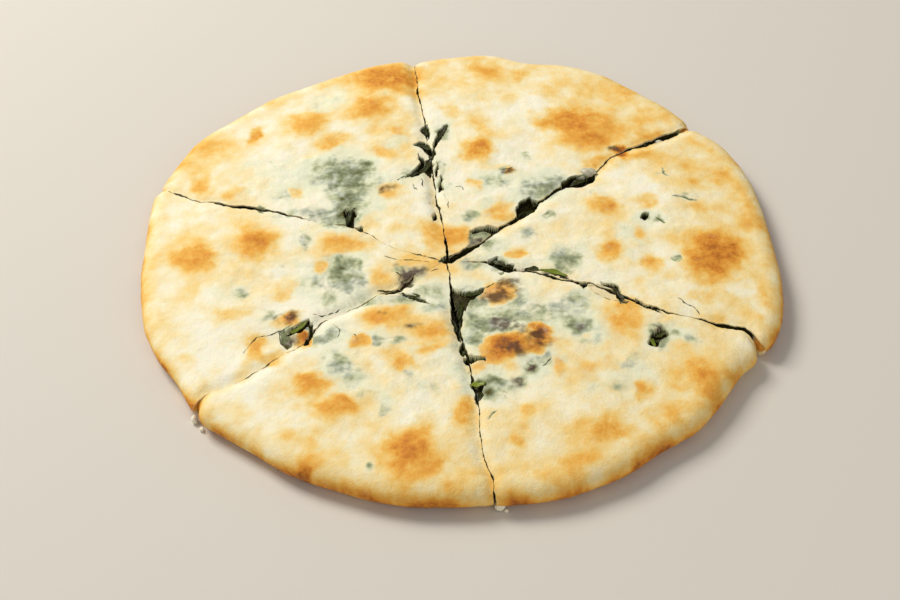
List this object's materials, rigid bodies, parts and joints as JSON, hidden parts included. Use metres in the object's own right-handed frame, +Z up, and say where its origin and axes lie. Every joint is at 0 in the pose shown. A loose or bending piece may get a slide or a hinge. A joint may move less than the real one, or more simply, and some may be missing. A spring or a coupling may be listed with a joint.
{
  "type": "filled flatbread, cut into slices",
  "caption": "Round flatbread baked with chopped greens and white cheese inside, cut into wedge slices that lie together.",
  "frame": {"origin": "centre of the bread's outline, on the flat underside", "axes": "+Z up from the underside; +Y away from the viewer who has the front slices nearest, +X to that viewer's right"},
  "size_m": [0.2926, 0.3001, 0.0156],
  "materials": {
    "crust": "baked wheat dough, dry and matt, cream with soft brown blisters",
    "greens": "soft chopped leaf filling with white cheese, moist, dark green"
  },
  "bodies": {
    "root": {"dough_back_left": "crust", "dough_back_right": "crust", "dough_right": "crust", "dough_front_right": "crust", "dough_front_left": "crust", "dough_left": "crust", "filling_back_left": "greens", "filling_back_right": "greens", "filling_right": "greens", "filling_front_right": "greens", "filling_front_left": "greens", "filling_left": "greens"}
  },
  "joints": []
}
